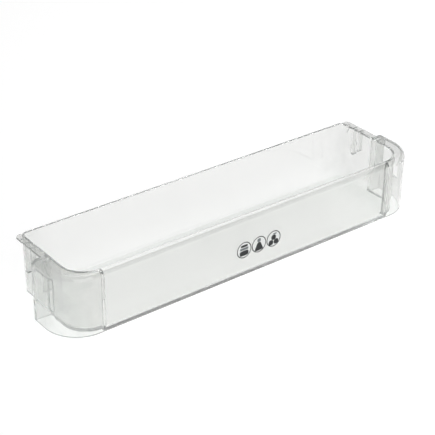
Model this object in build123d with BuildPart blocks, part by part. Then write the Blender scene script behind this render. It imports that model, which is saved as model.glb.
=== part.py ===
from build123d import *
import os

# Fridge door bottle shelf: one clear moulding, worked out in millimetres.
# X runs along the shelf, the front faces -Y, and the shelf stands on Z = 0.
# Its outside is a front shell with rounded corners and a narrower tub behind it.
# The cores of the mould then take out the trough, the recess behind the front panel
# and the hollow of each front corner, which stays open below.

# Overall sizes
length = 488.0
depth = 114.0
height = 71.5
wall = 2.4
floor = 2.4
edge_round = 0.8

# Front shell
corner_radius = 40.0
rim_round = 7.0
block_depth = 61.5
panel_length = 391.0
inside_round = 1.6

# Web that fills the upright corner between the shell's rear and the tub's end wall
web_leg = 2.5
web_radius = 4.0

# Trough, measured at the rim
rim_front = 8.0
rim_end = 20.0
inner_corner_radius = 27.0
rear_corner_radius = 5.0
draft = 0.8
floor_round = 2.6
foot_round = 4.0

# Window in the outer skin of each end, and the stiffening rib behind it
window_front = 26.0
window_rear = 56.0
window_bottom = 26.5
window_round = 1.5
stiffener_front = 52.5
stiffener_reach = 10.0
stiffener_bottom = 35.0

# Flange along the rear of each end wall
flange_width = 6.8
flange_rear_gap = 1.0
flange_tip_radius = 5.6

# Lug channel under each flange, open below, with a hook at the foot of its rear rib
rib = 2.0
channel_width = 8.8
channel_from_back = 25.4
channel_reach = 5.6
front_rib_bottom = 44.0
hook_level = 37.5
hook_length = 3.5
hook_radius = 2.0
gusset_from_back = 10.0
gusset_drop = 10.0
button_radius = 3.0
button_height = 0.6
button_level = 53.0

# Places that follow from the sizes
front = -depth / 2
back = depth / 2
end = length / 2
inner_end = end - rim_end
inner_front = front + rim_front
inner_back = back - wall
block_back = front + block_depth
tub_front = block_back - wall - rear_corner_radius
rim_under = height - wall
rim_inside = height - wall / 2
rib_root = inner_end + wall / 2
wall_face = inner_end + wall
window_top = height - rim_round
stiffener_place = front + stiffener_front
flange_front = block_back - wall / 2
flange_back = back - flange_rear_gap
flange_edge = wall_face + flange_width
channel_middle = back - channel_from_back
front_rib = channel_middle - (channel_width + rib) / 2
rear_rib = channel_middle + (channel_width + rib) / 2
gusset_place = back - gusset_from_back


def shell_outline(inset):
    """Plan of the front shell, moved inwards by inset."""
    corner = corner_radius - inset
    side = end - inset
    with BuildLine() as plan:
        Line((-side, front + corner_radius), (-side, block_back - inset))
        Line((-side, block_back - inset), (side, block_back - inset))
        Line((side, block_back - inset), (side, front + corner_radius))
        RadiusArc((side, front + corner_radius), (side - corner, front + inset), corner)
        Line((side - corner, front + inset), (corner - side, front + inset))
        RadiusArc((corner - side, front + inset), (-side, front + corner_radius), corner)
    return plan.edges()


def trough_outline(growth, start, start_radius):
    """Plan of the trough at the rim from start to the back, grown outwards by growth."""
    side = inner_end + growth
    near = start - growth
    far = inner_back + growth
    radii = [start_radius + growth] * 2 + [rear_corner_radius + growth] * 2
    with BuildLine() as plan:
        FilletPolyline((-side, near), (side, near), (side, far), (-side, far), radius=radii, close=True)
    return plan.edges()


def top_rim(shell):
    """Edges of the shell's flat top that show at the front and the ends, without the rear one."""
    return shell.faces().sort_by(Axis.Z)[-1].edges().sort_by(Axis.Y)[:-1]


def free_of_walls(point):
    """Whether a point of the flange lies clear of the end wall and the front corner that carry it."""
    return point.X > rib_root + rib and point.Y > flange_front + wall


# Core of the trough, which narrows towards the floor
with BuildPart() as trough_core:
    with BuildSketch(Plane.XY.offset(height)):
        make_face(trough_outline(0, inner_front, inner_corner_radius))
    extrude(amount=floor - height, taper=draft)
    fillet(trough_core.faces().sort_by(Axis.Z)[0].edges(), floor_round)

# Core of the recess between the front panel and the trough, under the rolled rim
with BuildPart() as panel_core:
    with BuildSketch(Plane.YZ):
        with BuildLine():
            FilletPolyline(
                (block_back, floor),
                (front + wall, floor),
                (front + wall, rim_under),
                (block_back, rim_under),
                radius=[floor_round, rim_round - wall],
            )
            Line((block_back, rim_under), (block_back, floor))
        make_face()
    extrude(amount=panel_length / 2, both=True)
    fillet(panel_core.edges().filter_by(Axis.Z).sort_by(Axis.Y)[:2], inside_round)

# Core of the two hollow corners, between the outer skin and the trough's own wall
with BuildPart() as corner_core:
    with BuildSketch():
        make_face(shell_outline(wall))
    extrude(amount=rim_under)
    fillet(top_rim(corner_core), rim_round - wall)
    with BuildSketch(Plane.XY.offset(height)):
        make_face(trough_outline(wall, inner_front, inner_corner_radius))
    extrude(amount=-height, taper=draft, mode=Mode.SUBTRACT)
    with BuildSketch():
        Rectangle(panel_length + 2 * wall, depth)
    extrude(amount=height, mode=Mode.SUBTRACT)
    fillet(corner_core.edges().filter_by(Axis.Z), inside_round)

# Outside of the tub behind the front shell
with BuildPart() as rear_tub:
    with BuildSketch(Plane.XY.offset(height)):
        make_face(trough_outline(wall, tub_front, rear_corner_radius))
    extrude(amount=-height, taper=draft)
    fillet(rear_tub.faces().sort_by(Axis.Z)[0].edges().sort_by(Axis.Y)[1:], foot_round)
    fillet(rear_tub.faces().sort_by(Axis.Z)[-1].edges().sort_by(Axis.Y)[-3:], edge_round)

# Flange, corner web, lug channel and stiffening rib of the right end, mirrored to the left
with BuildPart() as end_fittings:
    with BuildSketch(Plane.XY.offset(rim_under)) as flange_plan:
        with Locations((rib_root, flange_front)):
            Rectangle(flange_edge - rib_root, flange_back - flange_front, align=Align.MIN)
        fillet(flange_plan.vertices().group_by(Axis.X)[-1].sort_by(Axis.Y)[-1], flange_tip_radius)
    extrude(amount=wall)
    flat_edges = end_fittings.edges().filter_by(Axis.Z, reverse=True)
    fillet(flat_edges.filter_by(lambda edge: free_of_walls(edge.center())), edge_round)
    with BuildSketch(Plane.XY.offset(height)):
        with BuildLine():
            Polyline(
                (wall_face, block_back + web_leg),
                (rib_root, block_back + web_leg),
                (rib_root, flange_front),
                (wall_face + web_leg, flange_front),
                (wall_face + web_leg, block_back),
            )
            RadiusArc((wall_face + web_leg, block_back), (wall_face, block_back + web_leg), web_radius)
        make_face()
    extrude(amount=height - foot_round, dir=Vector(0, 0, -1).rotate(Axis.Y, draft))
    with BuildSketch(Plane.YZ.offset(rib_root)):
        with BuildLine():
            FilletPolyline(
                (rear_rib, rim_inside),
                (rear_rib, hook_level),
                (rear_rib - hook_length, hook_level),
                radius=hook_radius,
            )
        trace(line_width=rib)
        with BuildLine():
            Line((front_rib, rim_inside), (front_rib, front_rib_bottom))
        trace(line_width=rib)
    extrude(amount=wall_face + channel_reach - rib_root)
    with BuildSketch(Plane.YZ.offset(rib_root)):
        with Locations((channel_middle, button_level)):
            Circle(button_radius)
    extrude(amount=wall_face + button_height - rib_root)
    with BuildSketch(Plane.XZ.offset(-gusset_place)):
        with BuildLine():
            Polyline(
                (rib_root, rim_inside),
                (flange_edge - wall, rim_inside),
                (flange_edge - wall, rim_under),
                (rib_root, rim_under - gusset_drop),
                close=True,
            )
        make_face()
    extrude(amount=rib / 2, both=True)
    with BuildSketch(Plane.XZ.offset(-stiffener_place)):
        with BuildLine():
            Polyline(
                (rib_root, rim_inside),
                (wall_face + stiffener_reach, rim_inside),
                (wall_face + stiffener_reach, stiffener_bottom),
                (rib_root, stiffener_bottom),
                close=True,
            )
        make_face()
    extrude(amount=rib / 2, both=True)
    mirror(about=Plane.YZ)

# Windows through the outer skin of both ends
with BuildPart() as windows:
    with BuildSketch(Plane.YZ):
        with BuildLine():
            FilletPolyline(
                (front + window_front, window_bottom),
                (front + window_rear, window_bottom),
                (front + window_rear, window_top),
                (front + window_front, window_top),
                radius=window_round,
                close=True,
            )
        make_face()
    extrude(amount=end, both=True)
    with BuildSketch(Plane.XY):
        Rectangle(2 * (wall_face + stiffener_reach), depth)
    extrude(amount=height, mode=Mode.SUBTRACT)

# The whole moulding
with BuildPart() as bottle_shelf:
    with BuildSketch():
        make_face(shell_outline(0))
    extrude(amount=height)
    fillet(top_rim(bottle_shelf), rim_round)
    fillet(bottle_shelf.faces().sort_by(Axis.Y)[-1].edges().sort_by(Axis.Z)[1:], edge_round)
    add(rear_tub.part)
    add(trough_core.part, mode=Mode.SUBTRACT)
    add(panel_core.part, mode=Mode.SUBTRACT)
    add(corner_core.part, mode=Mode.SUBTRACT)
    add(windows.part, mode=Mode.SUBTRACT)
    add(end_fittings.part)
    rim_face = bottle_shelf.faces().sort_by(Axis.Z)[-1]
    fillet(rim_face.inner_wires()[0].edges(), edge_round)
bottle_shelf.part.label = "bottle_shelf"

os.makedirs("parts", exist_ok=True)
export_step(bottle_shelf.part, "parts/bottle_shelf.step")
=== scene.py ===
# The looks of a clear fridge door bottle shelf: its moulded polystyrene and the three printed food marks.
import math

import bpy
import bmesh
import numpy as np
from mathutils import Matrix, Vector


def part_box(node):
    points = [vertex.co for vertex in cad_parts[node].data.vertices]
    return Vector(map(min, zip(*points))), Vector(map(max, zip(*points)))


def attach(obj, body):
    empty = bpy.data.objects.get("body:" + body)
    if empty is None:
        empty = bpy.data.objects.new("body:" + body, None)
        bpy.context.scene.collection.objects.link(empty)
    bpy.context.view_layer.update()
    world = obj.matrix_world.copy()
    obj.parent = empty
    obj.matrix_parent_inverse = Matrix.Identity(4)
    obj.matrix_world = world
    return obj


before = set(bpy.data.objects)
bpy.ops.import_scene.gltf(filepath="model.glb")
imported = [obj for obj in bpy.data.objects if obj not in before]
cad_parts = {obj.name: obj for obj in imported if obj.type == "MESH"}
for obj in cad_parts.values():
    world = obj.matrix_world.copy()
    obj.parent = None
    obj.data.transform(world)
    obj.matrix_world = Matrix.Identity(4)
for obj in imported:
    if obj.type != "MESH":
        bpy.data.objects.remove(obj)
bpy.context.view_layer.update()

MM = 0.001
SHELF = "bottle_shelf"
shelf_low, shelf_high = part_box(SHELF)

# Clear plastic: how strongly it bends light and how often a ray may turn in it
polystyrene_ior = 1.59
ray_turns = 64

# Its handling haze begins this far from the shelf's middle, and is the share of the light that is scattered
grip_start = 180 * MM
haze_middle = 0.008
haze_ends = 0.15

# Printed marks on the front panel: rings in a row, each with a food pictogram on a white disc
panel_face = shelf_low.y
mark_middle = 3.35 * MM
mark_pitch = 20.6 * MM
mark_level = 31.8 * MM
mark_diameter = 19.8 * MM
ring_line = 1.05 * MM

# Ink: its film and gap to the panel, its two layers, the power by which the film stays full up to its outline,
# and the distance within which doubled points merge
ink_film = 0.05 * MM
ink_seat = 0.01 * MM
disc_layer = 0
dark_layer = 1
film_fullness = 8
merge_distance = ink_film / 50

# Points round a printed ring and over its arch, and across a printed field and up it
ring_points = 96
arch_points = 9
field_columns = 25
field_rows = 41

# Camera, as a bearing about the shelf, with the picture's focal length on a 36 mm sensor
camera_azimuth = math.radians(-38.06)
camera_elevation = math.radians(29.88)
camera_roll = math.radians(0.89)
camera_aim = Vector((-16.3, -8.2, 49.4)) * MM
camera_distance = 1451.5 * MM
camera_lens = 109.37
sensor_width = 36.0

# Floor: its glow to the camera and its glow where the plastic bends or mirrors it, over its own grey
floor_gap = 0.2 * MM
floor_reach = 8.0
glow_to_camera = 0.52
glow_in_plastic = 0.46
paper_grey = 0.65

# Room: its grey at the horizon and higher up, and each soft box's place and side in metres and power in watts
horizon_grey = 0.35
upper_grey = 0.12
soft_boxes = (
    ("soft_box_top", (0.7, 0.5, 2.0), 1.8, 28.0),
    ("soft_box_front", (-0.6, -1.9, 0.8), 2.0, 32.0),
)


def linear(code):
    """An sRGB hex colour such as #F2F4F3 as linear RGBA."""
    parts = np.array([int(code[i:i + 2], 16) / 255 for i in (1, 3, 5)])
    low = parts / 12.92
    high = ((parts + 0.055) / 1.055) ** 2.4
    return (*np.where(parts <= 0.04045, low, high), 1.0)


def add(tree, kind, settings=None, **links):
    """Adds a node to a tree. settings fill its sockets or its properties, and links feed its sockets."""
    made = tree.nodes.new(kind)
    for name, value in (settings or {}).items():
        if isinstance(name, int) or name in made.inputs:
            made.inputs[name].default_value = value
        else:
            setattr(made, name, value)
    for name, source in links.items():
        key = int(name[1:]) if name[1:].isdigit() else name.replace("_", " ")
        tree.links.new(source, made.inputs[key])
    return made


def material(name):
    """An empty node material and its output node."""
    made = bpy.data.materials.new(name)
    made.use_nodes = True
    made.node_tree.nodes.clear()
    return made, made.node_tree, made.node_tree.nodes.new("ShaderNodeOutputMaterial")


def clear_polystyrene():
    """Clear polystyrene, injection moulded against polished steel.

    It bends light strongly (IOR 1.59), so its edges gather dark and bright lines. Its faces carry a slow
    waviness from uneven shrinkage and a cloudy unevenness of gloss from wiping. The ends, by which the shelf is
    lifted out, are hazed by handling: there a small share of the light is scattered to both sides."""
    made, tree, output = material("clear_polystyrene_polished_mould")
    place = add(tree, "ShaderNodeTexCoord").outputs["Object"]
    shrink = 45 * MM
    waves = add(tree, "ShaderNodeTexNoise", {"Scale": 1 / shrink, "Detail": 1.0}, Vector=place)
    relief = add(tree, "ShaderNodeBump", {"Strength": 0.1, "Distance": 0.05 * MM}, Height=waves.outputs["Fac"])
    wiping = 22 * MM
    smears = add(tree, "ShaderNodeTexNoise", {"Scale": 1 / wiping, "Detail": 4.0}, Vector=place)
    rough = add(tree, "ShaderNodeMapRange", {"From Min": 0.45, "From Max": 0.8, "To Min": 0.012, "To Max": 0.05},
                Value=smears.outputs["Fac"])
    flow = 120 * MM
    clouds = add(tree, "ShaderNodeTexNoise", {"Scale": 1 / flow, "Detail": 2.0}, Vector=place)
    tint = add(tree, "ShaderNodeMix", {"data_type": "RGBA", 6: linear("#F7F7F6"), 7: linear("#FAFAF9")},
               _0=clouds.outputs["Fac"])
    plastic = add(tree, "ShaderNodeBsdfPrincipled", {"IOR": polystyrene_ior, "Transmission Weight": 1.0},
                  Base_Color=tint.outputs[2], Roughness=rough.outputs[0], Normal=relief.outputs[0])
    across = add(tree, "ShaderNodeSeparateXYZ", None, Vector=place)
    outwards = add(tree, "ShaderNodeMath", {"operation": "ABSOLUTE"}, _0=across.outputs["X"])
    handled = add(tree, "ShaderNodeMapRange", {"interpolation_type": "SMOOTHSTEP", "From Min": grip_start,
                  "From Max": shelf_high.x, "To Min": haze_middle, "To Max": haze_ends}, Value=outwards.outputs[0])
    patches = add(tree, "ShaderNodeMapRange", {"From Min": 0.3, "From Max": 0.7, "To Min": 0.7, "To Max": 1.3},
                  Value=smears.outputs["Fac"])
    haze = add(tree, "ShaderNodeMath", {"operation": "MULTIPLY"}, _0=handled.outputs[0], _1=patches.outputs[0])
    inwards = add(tree, "ShaderNodeBsdfTranslucent", {"Color": linear("#E8EAE9")})
    back = add(tree, "ShaderNodeBsdfDiffuse", {"Color": linear("#E8EAE9")})
    scattered = add(tree, "ShaderNodeMixShader", {0: 0.5}, _1=inwards.outputs[0], _2=back.outputs[0])
    hazed = add(tree, "ShaderNodeMixShader", None, _0=haze.outputs[0], _1=plastic.outputs[0],
                _2=scattered.outputs[0])
    lamp_light = add(tree, "ShaderNodeBsdfTransparent", {"Color": linear("#F4F6F5")})
    rays = add(tree, "ShaderNodeLightPath")
    both = add(tree, "ShaderNodeMixShader", None, _0=rays.outputs["Is Shadow Ray"], _1=hazed.outputs[0],
               _2=lamp_light.outputs[0])
    tree.links.new(both.outputs[0], output.inputs["Surface"])
    return made


def printing_ink(name, code, pale_code):
    """Screen printing ink: a matt film, slightly uneven where the mesh of the screen let less ink through."""
    made, tree, output = material(name)
    place = add(tree, "ShaderNodeTexCoord").outputs["Object"]
    # A real screen's mesh is about 0.1 mm, and is drawn coarser here so that it shows
    mesh_opening = 0.35 * MM
    screen = add(tree, "ShaderNodeTexNoise", {"Scale": 1 / mesh_opening, "Detail": 2.0}, Vector=place)
    cover = add(tree, "ShaderNodeMapRange", {"From Min": 0.4, "From Max": 0.75}, Value=screen.outputs["Fac"])
    colour = add(tree, "ShaderNodeMix", {"data_type": "RGBA", 6: linear(code), 7: linear(pale_code)},
                 _0=cover.outputs[0])
    film = add(tree, "ShaderNodeBsdfPrincipled", {"Roughness": 0.45, "IOR": 1.5}, Base_Color=colour.outputs[2])
    tree.links.new(film.outputs[0], output.inputs["Surface"])
    return made


def mesh_piece(name, points, faces, finish):
    """A mesh of points and faces whose doubles are merged, at the origin, riding on the shelf."""
    mesh = bpy.data.meshes.new(name)
    mesh.from_pydata(points.tolist(), [], faces.tolist())
    work = bmesh.new()
    work.from_mesh(mesh)
    bmesh.ops.remove_doubles(work, verts=work.verts, dist=merge_distance)
    bmesh.ops.recalc_face_normals(work, faces=work.faces)
    work.to_mesh(mesh)
    work.free()
    mesh.materials.append(finish)
    piece = bpy.data.objects.new(name, mesh)
    bpy.context.scene.collection.objects.link(piece)
    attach(piece, "root")
    return piece


def grid_faces(rows, columns, around_rows=False, around_columns=False):
    """Quads of a grid of rows by columns points, closed round in either direction where asked."""
    i = np.arange(rows if around_rows else rows - 1)[:, None]
    j = np.arange(columns if around_columns else columns - 1)[None, :]
    down = (i + 1) % rows
    across = (j + 1) % columns
    corners = (i * columns + j, i * columns + across, down * columns + across, down * columns + j)
    return np.stack([np.broadcast_to(c, (i.size, j.size)) for c in corners], axis=-1).reshape(-1, 4)


def ink_ring(name, centre, diameter, line, layer, finish):
    """A printed ring: a low arch of the line's width, with a flat back, carried round a circle."""
    turn = np.linspace(0, 2 * np.pi, ring_points, endpoint=False)[:, None]
    arch = np.linspace(0, np.pi, arch_points)[None, :]
    radius = diameter / 2 - line / 2 + line / 2 * np.cos(arch)
    x = centre[0] + radius * np.cos(turn)
    z = centre[1] + radius * np.sin(turn)
    y = panel_face - ink_seat - layer * ink_film - ink_film * np.sin(arch) + 0 * turn
    points = np.stack([x, y, z], axis=-1).reshape(-1, 3)
    return mesh_piece(name, points, grid_faces(turn.size, arch.size, True, True), finish)


def ink_field(name, centre, height, half_width, layer, finish):
    """A printed field: u runs across it and v from foot to head, and half_width(v) is its outline.

    The film is thickest in the middle and thins to nothing along the outline, where its flat back closes it."""
    u = np.linspace(-1, 1, field_columns)[None, :]
    v = np.linspace(0, 1, field_rows)[:, None]
    x = centre[0] + u * half_width(v)
    z = centre[1] + (v - 0.5) * height + 0 * u
    film = ink_film * (1 - u ** film_fullness) * (1 - (2 * v - 1) ** film_fullness)
    seat = panel_face - ink_seat - layer * ink_film
    front = np.stack([x, seat - film, z], axis=-1).reshape(-1, 3)
    rear = np.stack([x, seat + 0 * film, z], axis=-1).reshape(-1, 3)
    quads = grid_faces(v.size, u.size)
    faces = np.concatenate([quads, quads[:, ::-1] + len(front)])
    return mesh_piece(name, np.concatenate([front, rear]), faces, finish)


def rounded(width, power):
    """Half-width of a superellipse of that width: an ellipse at power 2, squarer as the power grows."""
    return lambda v: width / 2 * np.clip(1 - np.abs(2 * v - 1) ** power, 0, None) ** (1 / power)


def flask(shoulder, foot, power):
    """Half-width that grows straight from the shoulder to the foot and closes round at both ends."""
    return lambda v: (shoulder + (foot - shoulder) * (1 - v)) / 2 * rounded(2.0, power)(v)


def jar_mark(centre, dark, grey):
    """A preserving jar: lid, label and contents, one above the other."""
    x, z = centre
    for part, level, height, width, squareness, ink in (
        ("lid", 5.0 * MM, 2.9 * MM, 9.6 * MM, 4, dark),
        ("label", 1.4 * MM, 3.0 * MM, 11.4 * MM, 6, grey),
        ("contents", -3.9 * MM, 6.4 * MM, 12.0 * MM, 4, dark),
    ):
        ink_field(f"mark_jar_{part}", (x, z + level), height, rounded(width, squareness), dark_layer, ink)


def bottle_mark(centre, dark, grey):
    """A bottle: a conical body under a short neck."""
    x, z = centre
    neck_level, neck_height, neck_width = 5.2 * MM, 4.6 * MM, 4.8 * MM
    body_level, body_height, shoulder, foot = -2.4 * MM, 10.4 * MM, 4.0 * MM, 13.0 * MM
    ink_field("mark_bottle_neck", (x, z + neck_level), neck_height, rounded(neck_width, 3), dark_layer, grey)
    ink_field("mark_bottle_body", (x, z + body_level), body_height, flask(shoulder, foot, 5), dark_layer, dark)


def fruit_mark(centre, dark, grey):
    """Three round fruits in a heap, with a leaf over them."""
    x, z = centre
    size, roundness = 6.6 * MM, 2.2
    heap = ((-3.6 * MM, -4.2 * MM), (3.6 * MM, -4.2 * MM), (0.0, 1.6 * MM))
    leaf_across, leaf_up, leaf_height, leaf_width = 1.6 * MM, 5.9 * MM, 1.9 * MM, 5.4 * MM
    for number, (across, up) in enumerate(heap):
        fruit_centre = (x + across, z + up)
        ink_field(f"mark_fruit_{number + 1}", fruit_centre, size, rounded(size, roundness), dark_layer, dark)
    leaf_centre = (x + leaf_across, z + leaf_up)
    ink_field("mark_fruit_leaf", leaf_centre, leaf_height, rounded(leaf_width, 2), dark_layer, grey)


def print_marks():
    """The three marks in their row: a white disc and a dark ring for each, and its pictogram."""
    white = printing_ink("screen_print_ink_white", "#F8F9F8", "#F1F3F2")
    dark = printing_ink("screen_print_ink_charcoal", "#111415", "#202426")
    grey = printing_ink("screen_print_ink_grey", "#6F7577", "#868C8E")
    pictograms = (("jar", jar_mark), ("bottle", bottle_mark), ("fruit", fruit_mark))
    for number, (name, pictogram) in enumerate(pictograms):
        centre = (mark_middle + (number - 1) * mark_pitch, mark_level)
        inside = mark_diameter - ring_line
        ink_field(f"mark_{name}_disc", centre, inside, rounded(inside, 2), disc_layer, white)
        ink_ring(f"mark_{name}_ring", centre, mark_diameter, ring_line, dark_layer, dark)
        pictogram(centre, dark, grey)


def studio_floor():
    """A wide pale floor that glows white to the camera and a little less in the plastic, and keeps the shadow."""
    made, tree, output = material("studio_paper_white")
    rays = add(tree, "ShaderNodeLightPath")
    bent = add(tree, "ShaderNodeMath", {"operation": "MAXIMUM"}, _0=rays.outputs["Is Glossy Ray"],
               _1=rays.outputs["Is Transmission Ray"])
    in_plastic = add(tree, "ShaderNodeMath", {"operation": "MULTIPLY", 1: glow_in_plastic}, _0=bent.outputs[0])
    share = add(tree, "ShaderNodeMath", {"operation": "MULTIPLY_ADD", 1: glow_to_camera},
                _0=rays.outputs["Is Camera Ray"], _2=in_plastic.outputs[0])
    glow = add(tree, "ShaderNodeEmission", {"Color": linear("#FFFFFF")}, Strength=share.outputs[0])
    paper = add(tree, "ShaderNodeBsdfDiffuse", {"Color": (paper_grey, paper_grey, paper_grey, 1)})
    both = add(tree, "ShaderNodeAddShader", None, _0=glow.outputs[0], _1=paper.outputs[0])
    tree.links.new(both.outputs[0], output.inputs["Surface"])
    mesh = bpy.data.meshes.new("studio_floor")
    corners = np.array([(-1, -1), (1, -1), (1, 1), (-1, 1)]) * floor_reach
    level = shelf_low.z - floor_gap
    mesh.from_pydata([(x, y, level) for x, y in corners], [], [(0, 1, 2, 3)])
    mesh.materials.append(made)
    floor = bpy.data.objects.new("studio_floor", mesh)
    bpy.context.scene.collection.objects.link(floor)


def studio_light():
    """A dim grey room, a large soft box overhead and one low in front.

    They light the shelf, but their bright panels do not show through its plastic."""
    world = bpy.data.worlds.new("studio")
    bpy.context.scene.world = world
    world.use_nodes = True
    tree = world.node_tree
    tree.nodes.clear()
    way = add(tree, "ShaderNodeTexCoord").outputs["Generated"]
    height = add(tree, "ShaderNodeSeparateXYZ", None, Vector=way).outputs["Z"]
    grey = add(tree, "ShaderNodeMapRange", {"From Min": 0.0, "From Max": 0.5, "To Min": horizon_grey,
               "To Max": upper_grey}, Value=height)
    sky = add(tree, "ShaderNodeBackground", None, Color=grey.outputs[0])
    add(tree, "ShaderNodeOutputWorld", None, Surface=sky.outputs[0])
    aim = (Vector(shelf_low) + Vector(shelf_high)) / 2
    for name, place, size, power in soft_boxes:
        lamp = bpy.data.lights.new(name, "AREA")
        lamp.shape = "SQUARE"
        lamp.size = size
        lamp.energy = power
        box = bpy.data.objects.new(name, lamp)
        box.location = place
        box.rotation_euler = (aim - Vector(place)).to_track_quat("-Z", "Y").to_euler()
        box.visible_transmission = False
        bpy.context.scene.collection.objects.link(box)


def picture_camera():
    """The picture's camera: a long lens from the front left, looking down on the shelf."""
    a, e, r = camera_azimuth, camera_elevation, camera_roll
    back = Vector((math.sin(a) * math.cos(e), -math.cos(a) * math.cos(e), math.sin(e)))
    right = Vector((math.cos(a), math.sin(a), 0.0))
    up = back.cross(right)
    right, up = math.cos(r) * right + math.sin(r) * up, math.cos(r) * up - math.sin(r) * right
    lens = bpy.data.cameras.new("picture_camera")
    lens.sensor_width = sensor_width
    lens.lens = camera_lens
    lens.clip_end = 3 * floor_reach
    camera = bpy.data.objects.new("picture_camera", lens)
    camera.matrix_world = Matrix.Translation(camera_aim + back * camera_distance) @ Matrix(
        (right, up, back)).transposed().to_4x4()
    bpy.context.scene.collection.objects.link(camera)
    bpy.context.scene.camera = camera


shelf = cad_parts[SHELF]
shelf.data.materials.clear()
shelf.data.materials.append(clear_polystyrene())
print_marks()
studio_floor()
studio_light()
picture_camera()

scene = bpy.context.scene
scene.view_settings.view_transform = "Standard"
scene.cycles.max_bounces = ray_turns
scene.cycles.transmission_bounces = ray_turns
scene.cycles.glossy_bounces = ray_turns
